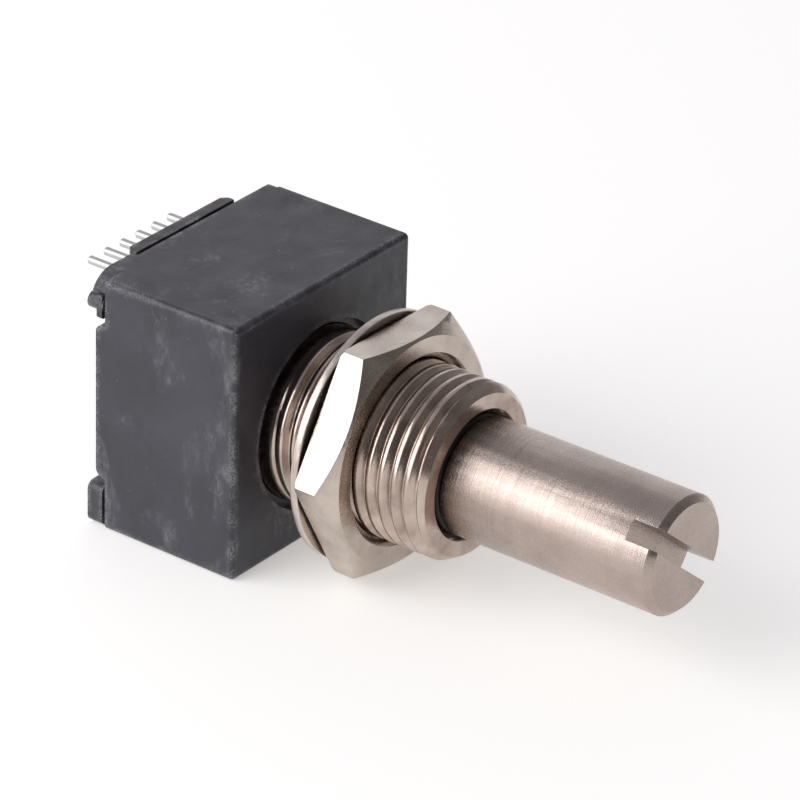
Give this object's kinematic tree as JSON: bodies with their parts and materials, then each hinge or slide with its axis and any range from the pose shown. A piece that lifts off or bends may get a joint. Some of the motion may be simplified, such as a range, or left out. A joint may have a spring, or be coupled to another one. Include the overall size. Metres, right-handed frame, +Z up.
{
  "type": "optical rotary encoder",
  "caption": "Square panel-mount optical encoder with a slotted round shaft, threaded bushing with nut and washer, a push switch and a row of rear terminals.",
  "frame": {"origin": "middle of the threaded bushing where it leaves the housing's front face", "axes": "-Y out along the shaft, +Z up towards the terminal row, +X to the right seen from the front"},
  "size_m": [0.0144, 0.0355, 0.0143],
  "materials": {
    "moulded_black": "satin moulded black thermoplastic",
    "insulator_brown_black": "matt moulded brown-black thermoplastic",
    "nickel_bushing": "bright nickel plate on turned brass",
    "nickel_nut": "brushed nickel plate on brass",
    "nickel_washer": "die-cut nickel-plated brass",
    "nickel_shaft": "satin nickel plate on turned brass",
    "seal_rubber": "smooth black nitrile rubber",
    "spring_steel": "rolled spring steel",
    "acetal": "natural white acetal",
    "etched_metal": "thin etched metal",
    "clear_epoxy": "clear moulded epoxy",
    "tinned": "bright tin plate",
    "ic_plastic": "black moulded epoxy",
    "board_laminate": "green solder mask on glass laminate",
    "chip_ceramic": "sintered ceramic"
  },
  "bodies": {
    "base": {"housing": "moulded_black", "rear_cover": "moulded_black", "terminal_insulator": "insulator_brown_black", "terminal_pin_1": "tinned", "terminal_pin_2": "tinned", "terminal_pin_3": "tinned", "terminal_pin_4": "tinned", "terminal_pin_5": "tinned", "terminal_pin_6": "tinned", "threaded_bushing": "nickel_bushing", "thrust_washer": "acetal", "led_emitter": "clear_epoxy", "led_leads": "tinned", "photo_detector": "ic_plastic", "reticle": "etched_metal", "bearing_plate": "moulded_black", "circuit_board": "board_laminate", "switch_body": "ic_plastic", "snap_dome": "spring_steel", "resistor_left": "chip_ceramic", "resistor_right": "chip_ceramic", "bypass_capacitor": "chip_ceramic"},
    "rotor": {"disc_hub": "acetal", "code_disc": "etched_metal"},
    "shaft": {"shaft": "nickel_shaft", "shaft_seal": "seal_rubber", "retaining_ring": "spring_steel"},
    "plunger": {"switch_plunger": "acetal"},
    "washer": {"panel_washer": "nickel_washer"},
    "nut": {"mounting_nut": "nickel_nut"}
  },
  "joints": [
    {"name": "shaft_spin", "type": "hinge", "parent": "base", "child": "rotor", "pos_m": [0, 0.004, 0], "axis": [0, 1, 0], "continuous": true},
    {"name": "shaft_push", "type": "slide", "parent": "rotor", "child": "shaft", "axis": [0, 1, 0], "range_m": [0, 0.00035], "stiffness_N_per_m": 8000, "deforming": ["snap_dome"]},
    {"name": "plunger_press", "type": "slide", "parent": "base", "child": "plunger", "axis": [0, 1, 0], "range_m": [0, 0.00035]},
    {"name": "nut_travel", "type": "slide", "parent": "base", "child": "washer", "axis": [0, 1, 0], "range_m": [-0.00317, 0.00238]},
    {"name": "nut_turn", "type": "hinge", "parent": "washer", "child": "nut", "pos_m": [0, -0.0048, 0], "axis": [0, 1, 0], "range_deg": [-1441, 1081]}
  ],
  "couplings": [
    {"joint": "plunger_press", "follows": "shaft_push", "ratio": 1},
    {"joint": "nut_turn", "follows": "nut_travel", "rad_per_m": 7915.8}
  ]
}
